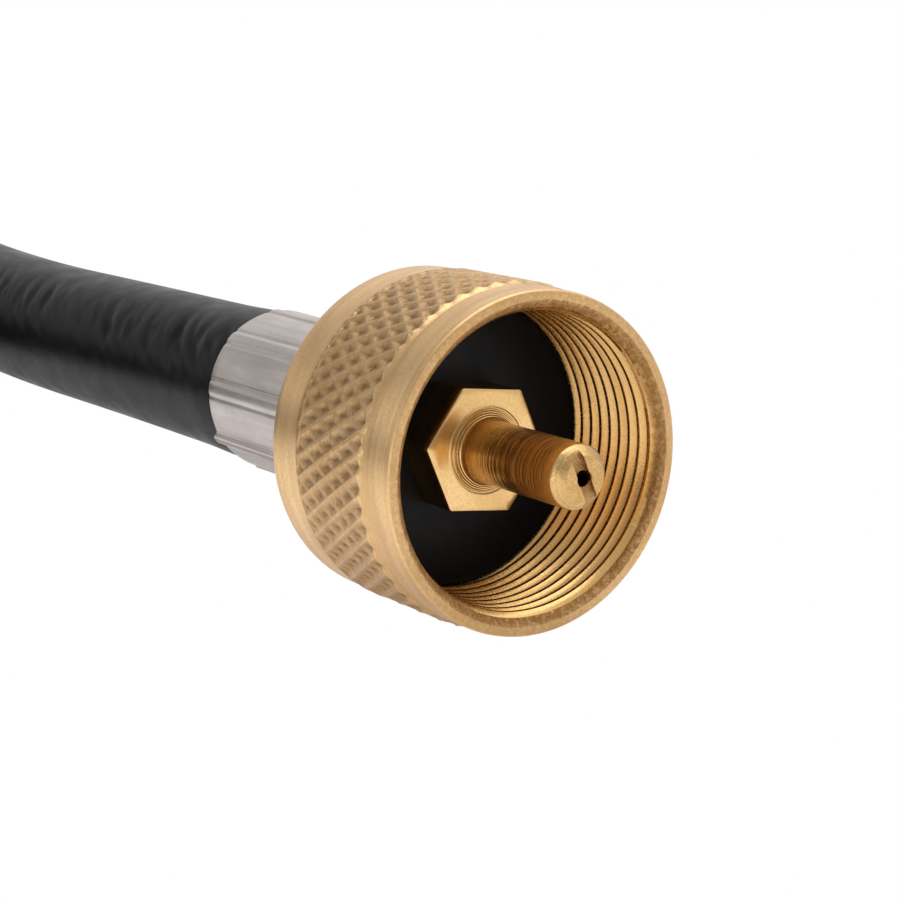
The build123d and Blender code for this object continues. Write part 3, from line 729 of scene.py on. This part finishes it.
def probe_cut(places):
    """1 in the hole and at its edge, 0.6 in the slot, where the brass darkens with painted shade."""
    radius = np.hypot(places[:, 1], places[:, 2])
    in_hole = (radius < 0.78) * (places[:, 0] < 6.05)
    in_slot = (places[:, 0] > 5.55) * (places[:, 0] < 5.98) * (radius < 2.2)
    return np.maximum(in_hole, 0.6 * in_slot)


marked(probe, probe_cut)


def probe_scuff(places):
    """A little wear on the tip's chamfer, and twice that on its flat end."""
    return 0.25 * (places[:, 0] > 5.24) + 0.25 * (places[:, 0] > 6.02)


marked(probe, probe_scuff, "scuff")

# ---------------------------------------------------------------- ferrules
RIB_SHARPNESS = (1.0, 0.65, 0.8, 0.5, 0.75, 0.6, 0.4, 0.25, 0.2)  # how sharply the crimp left each rib
RIBS = len(RIB_SHARPNESS)
RIB_STEP = 360 / RIBS
RIB_HALF_WIDTH, RIB_HEIGHT = 4.6, 0.26  # degrees, millimetres
FLANK = 6.0  # degrees from a rib's middle
FERRULE_COLUMNS = 540
FERRULE_FLAT_R, FERRULE_SHOULDER_R = 7.40, 7.42
FERRULE_BORE_R, COLLAR_R = 6.93, 4.42
FERRULE_LEN, END_WALL = 22.5, 1.2


def ferrule(name, node, shoulder, origin, first_rib):
    """A crimped sleeve with flats between raised ribs; the ribs reach further along the hose."""

    def nearest_rib(degrees):
        """How far round from the nearest rib's middle each place is, and how sharp that rib is."""
        from_rib = (degrees - first_rib + RIB_STEP / 2) % RIB_STEP - RIB_STEP / 2
        number = np.round((degrees - first_rib) / RIB_STEP).astype(int) % RIBS
        return from_rib, np.array(RIB_SHARPNESS)[number]

    from_rib, sharpness = nearest_rib(np.arange(FERRULE_COLUMNS) * 360 / FERRULE_COLUMNS)
    rib = np.clip(1 - np.abs(from_rib / RIB_HALF_WIDTH) ** 4, 0, 1) * sharpness
    flank = np.exp(-((np.abs(from_rib) - FLANK) ** 2) / 2.2)
    flat = FERRULE_FLAT_R / np.cos(np.radians(0.35 * np.minimum(RIB_STEP / 2 - np.abs(from_rib), 13)))
    outer = flat + RIB_HEIGHT * rib - 0.07 * flank
    mouth = shoulder - FERRULE_LEN - 0.9 * sharpness**4 * np.exp(-((from_rib / 5.5) ** 2))
    inner = FERRULE_BORE_R + 0.18 * rib
    collar = np.full_like(outer, COLLAR_R)
    rows = [(np.full_like(outer, shoulder), collar)]
    for inset, down in ((0.0, 0.55), (0.08, 0.25), (0.25, 0.07), (0.5, 0.0)):
        crimped = FERRULE_SHOULDER_R + (outer - FERRULE_SHOULDER_R) * ease(inset, -0.2, 0.5)
        rows.append((np.full_like(outer, shoulder - inset), crimped - down))
    for t in np.linspace(0, 1, 22)[1:]:
        swell = 0.10 * math.sin(math.pi * t) * (1 - rib)
        rows.append((shoulder - 0.6 + (mouth + 0.25 - shoulder + 0.6) * t, outer - swell))
    rows += [(mouth + 0.08, outer - 0.06), (mouth, outer - 0.18), (mouth, inner + 0.1), (mouth + 0.1, inner)]
    end_wall = np.full_like(outer, shoulder - END_WALL)
    rows += [(end_wall, inner), (end_wall, collar)]
    made = ride_mesh(
        name,
        turned([x for x, _ in rows], [r for _, r in rows], FERRULE_COLUMNS, origin=origin),
        grid_faces(len(rows), FERRULE_COLUMNS),
        "hose_assembly",
        stainless,
        [node],
        sharp=42,
    )

    def rib_side(places):
        """Highest along a rib's middle, and half of that along its flanks; the steel takes a painted
        reflection and painted shade there.
        """
        off, sharp = nearest_rib(np.degrees(np.arctan2(places[:, 2] - origin[2], places[:, 1] - origin[1])))
        middle = 0.9 * np.exp(-((off / 1.9) ** 2))
        return sharp * np.maximum(middle, 0.5 * np.exp(-((np.abs(off) - FLANK) ** 2) / 1.2))

    marked(made, rib_side)
    return made


ferrule("ferrule_nut_end_crimped", "ferrule_nut_end", -18.1, (0, 0, 0), 213.0)
ferrule_far = ferrule(
    "ferrule_regulator_end_crimped", "ferrule_regulator_end", -87.6, (0, TAIL_Y, PORT_Z), 100.0
)

# ---------------------------------------------------------------- hose
HOSE_COLUMNS = 112
CRIMPED_R = 6.9  # inside a ferrule
CRIMPED_NEAR, CRIMPED_FAR = 21.5, 22.5  # how far from either end the ferrules reach


def along(path, places):
    """Points at these distances along a line of points."""
    steps = np.linalg.norm(np.diff(path, axis=0), axis=1)
    so_far = np.concatenate([[0], np.cumsum(steps)])
    return np.stack([np.interp(places, so_far, path[:, axis]) for axis in range(3)], -1)


def wrinkles(place, degrees):
    """Creases in the hose's cover, in millimetres, strongest just past the ferrule on its bent side."""
    lean = place - 0.16 * (degrees - 40) * 0.5
    creases = 0.0
    for length, phase, share in ((3.1, 0.4, 0.7), (4.7, 2.1, 0.8), (7.3, 4.0, 0.5), (2.2, 1.0, 0.35)):
        drift = 1.3 * np.sin(place / 11 + phase) + 0.9 * np.sin(place / 5.3 + degrees / 17 + phase)
        fold = np.abs(np.sin(np.pi * lean / length + drift))
        creases = creases - share * (1 - fold) ** 2.2
    band = np.exp(-(((degrees - 34) / 22) ** 2))
    patch = 0.55 + 0.45 * np.sin(place / 9 + 1.3) * np.sin(place / 4.1)
    fade = 1 - ease(place, 150, 260)
    broad = 0.05 * np.sin(place / 17) * np.cos(np.radians(degrees * 2))
    return fade * (0.3 * creases * band * patch) + broad


hose_steps = np.linalg.norm(np.diff(hose_path, axis=0), axis=1)
hose_total = hose_steps.sum()
# Stations are closest over the stretch whose creases show
stations = np.concatenate(
    [np.arange(0, 20, 2.0), np.arange(20, 110, 0.5), np.arange(110, hose_total, 2.0), [hose_total]]
)
centres = along(hose_path, stations)
ahead = along(hose_path, np.minimum(stations + 0.5, hose_total))
ahead -= along(hose_path, np.maximum(stations - 0.5, 0))
ahead /= np.linalg.norm(ahead, axis=1, keepdims=True)
side = np.cross((0, 0, 1), ahead)
side /= np.linalg.norm(side, axis=1, keepdims=True)
up = np.cross(ahead, side)
around = np.arange(HOSE_COLUMNS) * TURN / HOSE_COLUMNS
degrees = np.degrees(around)[None, :]
degrees = np.where(degrees > 180, degrees - 360, degrees)
pinched = 0.12 * np.exp(-(((stations - 24) / 3.5) ** 2))[:, None]
radius = HOSE_R - 0.02 + wrinkles(stations[:, None] - 21.9, degrees) + pinched
radius = np.where(stations[:, None] < CRIMPED_NEAR, CRIMPED_R, radius)
radius = np.where(stations[:, None] > hose_total - CRIMPED_FAR, CRIMPED_R, radius)
outward = np.cos(around)[None, :, None] * side[:, None, :] + np.sin(around)[None, :, None] * up[:, None, :]
hose = ride_mesh(
    "hose",
    (centres[:, None, :] + radius[..., None] * outward).reshape(-1, 3),
    bar_faces(len(stations), HOSE_COLUMNS),
    "hose_assembly",
    hose_rubber,
    ["hose_run", "hose_coil", "hose_tail"],
)

# ---------------------------------------------------------------- straps round the stored turns
STRAP_COLUMNS = 120
# The strap's section: place across its width and height over the hose
STRAP_SECTION = [(-4.5, 0.08), (-4.5, 0.75), (-4.3, 0.92), (0, 0.97)]
STRAP_SECTION += [(4.3, 0.92), (4.5, 0.75), (4.5, 0.08), (0, 0.06)]


def strap_points(degrees):
    """Rows of points of a strap pulled round the strands that cross this direction of the coil."""
    away = np.array((math.cos(math.radians(degrees)), math.sin(math.radians(degrees)), 0.0))
    forward = np.array((-away[1], away[0], 0.0))
    centre = np.array((*COIL_CENTRE, 0.0))
    offsets = hose_path - centre
    near = (np.abs(offsets @ forward) < 1.6) & (offsets @ away > 0)
    strands = np.stack([offsets[near] @ away, offsets[near][:, 2]], -1)
    angles = np.linspace(0, TURN, 97)[:-1]
    outward = np.stack([np.cos(angles), np.sin(angles)], -1)
    hull = []
    for direction in outward:
        reach = strands @ direction + HOSE_R
        hull.append(strands[reach.argmax()] + direction * HOSE_R)
    hull = np.array(hull)
    loop = np.concatenate([hull, hull[:1]])
    so_far = np.concatenate([[0], np.cumsum(np.linalg.norm(np.diff(loop, axis=0), axis=1))])
    places = np.linspace(0, so_far[-1], STRAP_COLUMNS + 1)[:-1]
    ring = np.stack([np.interp(places, so_far, loop[:, axis]) for axis in range(2)], -1)
    tangent = np.roll(ring, -1, 0) - np.roll(ring, 1, 0)
    tangent /= np.linalg.norm(tangent, axis=1, keepdims=True)
    normal = np.stack([tangent[:, 1], -tangent[:, 0]], -1)
    points = []
    for wide, out in STRAP_SECTION:
        for spot, direction in zip(ring, normal):
            flat = spot + direction * out
            points.append(centre + away * flat[0] + np.array((0, 0, flat[1])) + forward * wide)
    return points


strap_one, strap_two = strap_points(170.0), strap_points(215.0)
strap_faces = grid_faces(len(STRAP_SECTION), STRAP_COLUMNS)
strap_faces += grid_faces(len(STRAP_SECTION), STRAP_COLUMNS, first=len(strap_one))
ties = ride_mesh(
    "strap_ties", strap_one + strap_two, strap_faces, "hose_assembly", strap, ["coil_ties"]
)

# ---------------------------------------------------------------- regulator end
REG_X, REG_Y, BASE = -49.3, TAIL_Y, -14.1
PORT = (REG_X, REG_Y, PORT_Z)
REG = (REG_X, REG_Y, BASE)


ROWS_A_PITCH = 9


def hex_fitting(name, node, near, far, flats, before, after, origin, thread=None):
    """A turned fitting with a hexagon whose corners are turned off at 30 degrees.

    thread is its start, end, major radius, depth and pitch.
    """
    columns = 360
    thirty = math.radians(30)
    face = flats / 2 * 0.97
    flat = hex_radius(columns, flats, flats / 2 / math.cos(thirty))
    rows = [(x, np.full(columns, r)) for x, r in before]
    insets = (0.0, 0.12, 0.3, 0.6, 1.0)
    corners = [(inset, np.minimum(flat, face + inset / math.tan(thirty))) for inset in insets]
    rows += [(near + inset, r) for inset, r in corners]
    rows += [(far - inset, r) for inset, r in reversed(corners)]
    if thread:
        start, end, major, depth, pitch = thread
        turn_share = np.arange(columns) / columns
        for x in np.linspace(start, end, int((end - start) / pitch * ROWS_A_PITCH)):
            cut = (0.5 + 0.5 * np.cos(TURN * (x / pitch - turn_share))) ** 0.8
            ends = np.minimum(ease(x, start - 0.1, start + 0.5), 1)
            lead = np.clip((x - (end - 0.9)) / 0.9, 0, 1) * depth
            rows.append((x, np.minimum(major - depth * cut * ends, major - lead)))
    rows += [(x, np.full(columns, r)) for x, r in after]
    return ride_mesh(
        name,
        turned([x for x, _ in rows], [r for _, r in rows], columns, origin=origin),
        grid_faces(len(rows), columns),
        "hose_assembly",
        fitting_brass,
        [node],
    )


inlet = hex_fitting(
    "inlet_fitting_turned",
    "inlet_fitting",
    -38.0,
    -32.0,
    14.3,
    [(-60, 1.9), (-60, 3.1), (-39.8, 3.1), (-39.8, 4.38), (-38.32, 4.38), (-38.3, 6.0), (-38.1, 6.2)],
    [(-31.9, 6.45), (-23.4, 6.45), (-22.6, 5.8), (-22.6, 1.9)],
    PORT,
)
FLARE_START, FLARE_END, FLARE_R, FLARE_DEPTH, FLARE_PITCH = 38.1, 47.4, 7.93, 0.78, 1.411
outlet = hex_fitting(
    "outlet_fitting_turned",
    "outlet_fitting",
    32.0,
    38.0,
    17.5,
    [(23.2, 3.5), (23.2, 5.8), (23.8, 6.45), (31.8, 6.45)],
    [(47.5, 7.1), (47.55, 7.0), (47.75, 6.95), (50.0, 5.25)]
    + [(50.2, 4.95), (50.24, 4.6), (50.24, 3.6), (50.1, 3.5)],
    PORT,
    thread=(FLARE_START, FLARE_END, FLARE_R, FLARE_DEPTH, FLARE_PITCH),
)


def outlet_cut(places):
    """0 on the flare thread's crests, 0.7 in its root, where the brass darkens with painted shade."""
    from_port = places - PORT
    root = np.clip((FLARE_R - np.hypot(from_port[:, 1], from_port[:, 2])) / FLARE_DEPTH, 0, 1)
    return 0.7 * root * (from_port[:, 0] > FLARE_START + 0.1) * (from_port[:, 0] < FLARE_END - 0.2)


marked(outlet, outlet_cut)

body = bevelled("regulator_body", "hose_assembly", grey_casting, width=0.8, segments=3)
bonnet = bevelled("bonnet", "hose_assembly", grey_casting, width=0.6, segments=3)
screws = bevelled("bonnet_screws", "hose_assembly", zinc_steel, width=0.25)

CAP_COLUMNS = 216
CAP_R, GRIP_DEPTH, GRIP_FLUTES = 10, 0.45, 24
CAP_LOW, CAP_LIP, CAP_TOP = 43.5, 46.0, 49.0
PLUG_R, DISH_R, DISH_Z = 6.96, 6.6, 48.45
cap_angle = np.arange(CAP_COLUMNS) * TURN / CAP_COLUMNS
grip = CAP_R - GRIP_DEPTH * (0.5 + 0.5 * np.cos(GRIP_FLUTES * cap_angle)) ** 2
cap_rows = [(CAP_LOW, 0), (CAP_LOW, 6.7), (43.8, PLUG_R), (CAP_LIP, PLUG_R), (CAP_LIP, 9.4)]
cap_rows += [(46.15, grip - 0.12), (46.4, grip), (48.2, grip), (48.6, grip - 0.15), (48.85, grip - 0.45)]
cap_rows += [(CAP_TOP, grip - 1.0), (CAP_TOP, 7.4), (48.9, 7.2), (48.5, 7.0), (DISH_Z, DISH_R), (DISH_Z, 0)]
tower_cap = ride_mesh(
    "tower_cap_moulded",
    turned(*steady(cap_rows, CAP_COLUMNS), CAP_COLUMNS, origin=REG, upright=True),
    grid_faces(len(cap_rows), CAP_COLUMNS, closed=False),
    "hose_assembly",
    black_plastic,
    ["tower_cap"],
)
# The diaphragm in five sectors, made without the six screw holes, which are out of sight
SECTORS, BEND_FROM, BEND_TO = 5, 13.2, 14.6
LOW_FACE, MIDDLE_Z, HIGH_FACE = 23.02, 23.6, 24.18
DIAPHRAGM_R = 28.9
sector_rs = (2.25, 8, 13.2, 14, 14.6, 15.2, 15.8, 16.4, 17, 17.9, 20, 24, 28.8)
section = [(r, LOW_FACE) for r in sector_rs] + [(DIAPHRAGM_R, MIDDLE_Z)]
section += [(r, HIGH_FACE) for r in reversed(sector_rs)]
for number in range(SECTORS):
    middle = (number + 0.5) * TURN / SECTORS
    sweep = middle + np.linspace(-0.5, 0.5, 25) * TURN / SECTORS
    sector = ride_mesh(
        f"diaphragm_sector_{number + 1}",
        [(REG_X + r * math.cos(a), REG_Y + r * math.sin(a), BASE + z) for a in sweep for r, z in section],
        bar_faces(len(sweep), len(section)),
        None,
        black_rubber,
        ["diaphragm"],
    )
    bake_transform(sector)

# The spring in two halves, one below and one above SPRING_SPLIT
SPRING_R, WIRE_R, SPRING_TURNS = 5.0, 0.6, 5
SPRING_SIDES = 12
SPRING_LOW, SPRING_HIGH, SPRING_SPLIT = 25.85, 36.35, 29.6
for part, start, end, first_body, second_body in (
    ("lower", SPRING_LOW, SPRING_SPLIT, "diaphragm_group", "hose_assembly"),
    ("upper", SPRING_SPLIT, SPRING_HIGH, "hose_assembly", "screw"),
):
    spring_points = []
    heights = np.linspace(start, end, 100)
    for z in heights:
        swung = TURN * SPRING_TURNS * (z - SPRING_LOW) / (SPRING_HIGH - SPRING_LOW)
        for corner in np.arange(SPRING_SIDES) * TURN / SPRING_SIDES:
            reach = SPRING_R + WIRE_R * math.cos(corner)
            high = BASE + z + WIRE_R * math.sin(corner)
            spring_points.append((REG_X + reach * math.cos(swung), REG_Y + reach * math.sin(swung), high))
    coiled = ride_mesh(
        f"regulating_spring_{part}",
        spring_points,
        bar_faces(len(heights), SPRING_SIDES),
        None,
        zinc_steel,
        ["regulating_spring"],
    )
    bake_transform(coiled)

# The vent's woven screen: wires along X and along Y that pass over and under each other
SCREEN_CENTRE = np.array((REG_X, REG_Y - 14.2, BASE + 33.3))
SCREEN_R, WIRE_GAP, SCREEN_WIRE_R, WEAVE_HEIGHT = 2.4, 0.52, 0.09, 0.07
WIRE_SIDES = 6
wire_points, wire_faces = [], []
for number in range(-4, 5):
    offset = number * WIRE_GAP
    half = math.sqrt(max(SCREEN_R**2 - offset**2, 0.05))
    for crossing in (0, 1):
        lengths = np.linspace(-half, half, 25)
        woven = WEAVE_HEIGHT * np.sin(np.pi * (lengths / WIRE_GAP + number + crossing))
        beside = np.full_like(lengths, offset)
        line = np.stack([lengths, beside, woven] if crossing else [beside, lengths, woven], -1)
        sideways = np.array((0, 1, 0) if crossing else (1, 0, 0))
        first = len(wire_points)
        for spot in SCREEN_CENTRE + line:
            for turn in np.arange(WIRE_SIDES) * TURN / WIRE_SIDES:
                out = math.cos(turn) * sideways + math.sin(turn) * np.array((0, 0, 1))
                wire_points.append(spot + SCREEN_WIRE_R * out)
        wire_faces += bar_faces(len(lengths), WIRE_SIDES, first)
vent_screen = ride_mesh(
    "vent_screen_woven", wire_points, wire_faces, "hose_assembly", stainless, ["vent_screen"]
)

# CAD nodes that show as they are, nearly all of them inside
for node, look, slot in (
    ("swivel_stem", fitting_brass, "bright_brass"),
    ("orifice", fitting_brass, "bright_brass"),
    ("valve_slide", fitting_brass, "bright_brass"),
    ("valve_disc", black_rubber, "black_rubber"),
    ("lever", zinc_steel, "zinc_steel"),
    ("lever_pin", zinc_steel, "zinc_steel"),
    ("diaphragm_plate", zinc_steel, "zinc_steel"),
    ("diaphragm_link", zinc_steel, "zinc_steel"),
    ("adjusting_screw", black_plastic, "black_plastic"),
):
    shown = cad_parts[node]
    shown.data.materials.clear()
    shown.data.materials.append(look)

# ---------------------------------------------------------------- floor, light and background
FLOOR_Z, FLOOR_REACH = -0.01415, 6


def join_camera_choice(tree, for_light, for_camera, output):
    """Gives output the shader for_camera where the camera sees it and for_light everywhere else."""
    ray = tree.nodes.new("ShaderNodeLightPath")
    choice = tree.nodes.new("ShaderNodeMixShader")
    tree.links.new(ray.outputs["Is Camera Ray"], choice.inputs["Fac"])
    tree.links.new(for_light, choice.inputs[1])
    tree.links.new(for_camera, choice.inputs[2])
    tree.links.new(choice.outputs["Shader"], output.inputs["Surface"])


floor_corners = [(x * FLOOR_REACH, y * FLOOR_REACH, FLOOR_Z) for x, y in ((-1, -1), (1, -1), (1, 1), (-1, 1))]
floor_mesh = bpy.data.meshes.new("floor")
floor_mesh.from_pydata(floor_corners, [], [(0, 1, 2, 3)])
floor = added("floor", floor_mesh)
floor_look = Look("floor")
floor_look.give(Base_Color=(0.85, 0.85, 0.85, 1), Roughness=0.9, Specular_IOR_Level=0.1)
floor_look.give(Emission_Color=WHITE, Emission_Strength=0.3)
paper = floor_look.node("ShaderNodeEmission").outputs["Emission"]
floor_out = floor_look.tree.nodes["Material Output"]
join_camera_choice(floor_look.tree, floor_look.shader.outputs["BSDF"], paper, floor_out)
floor_mesh.materials.append(floor_look.material)


def soft_light(name, place, size, power):
    """A rectangular light that faces the nut's mouth."""
    data = bpy.data.lights.new(name, "AREA")
    data.shape = "RECTANGLE"
    data.size, data.size_y = size
    data.energy = power
    made = added(name, data)
    made.location = place
    made.rotation_mode = "QUATERNION"
    made.rotation_quaternion = (-Vector(place)).to_track_quat("-Z", "Y")


soft_light("overhead", (-0.05, 0.15, 0.75), (0.8, 0.8), 3.2)
soft_light("right_front", (0.5, 0.5, 0.3), (0.8, 0.8), 1.1)
soft_light("near_card", (0.15, -0.7, 0.1), (0.4, 0.3), 0.6)
soft_light("left_card", (-0.6, -0.55, 0.2), (0.5, 0.3), 0.25)

world = bpy.data.worlds.new("studio")
bpy.context.scene.world = world
world.use_nodes = True
tree = world.node_tree
tree.nodes.clear()
coords = tree.nodes.new("ShaderNodeTexCoord")
parts = tree.nodes.new("ShaderNodeSeparateXYZ")
tree.links.new(coords.outputs["Generated"], parts.inputs["Vector"])
# The room's grey by height, and a glow from behind the part
rise = ramp_node(tree, parts.outputs["Z"], ((0.0, 0.42), (0.15, 0.36), (0.5, 0.5), (0.8, 0.6)))
toward = tree.nodes.new("ShaderNodeVectorMath")
toward.operation = "DOT_PRODUCT"
toward.inputs[1].default_value = (-0.6, 0.8, 0.0)
tree.links.new(coords.outputs["Generated"], toward.inputs[0])
back = ramp_node(tree, toward.outputs["Value"], ((0.25, 0.0), (0.8, 0.5)))
both = tree.nodes.new("ShaderNodeMix")
both.data_type = "RGBA"
both.blend_type = "ADD"
both.inputs["Factor"].default_value = 1.0
tree.links.new(rise, both.inputs[6])
tree.links.new(back, both.inputs[7])
studio = tree.nodes.new("ShaderNodeBackground")
tree.links.new(both.outputs[2], studio.inputs["Color"])
backdrop = tree.nodes.new("ShaderNodeBackground")
backdrop.inputs["Color"].default_value = WHITE
backdrop.inputs["Strength"].default_value = 1.0
world_out = tree.nodes.new("ShaderNodeOutputWorld")
join_camera_choice(tree, studio.outputs["Background"], backdrop.outputs["Background"], world_out)

bpy.context.scene.view_settings.view_transform = "Standard"
bpy.context.scene.view_settings.look = "None"
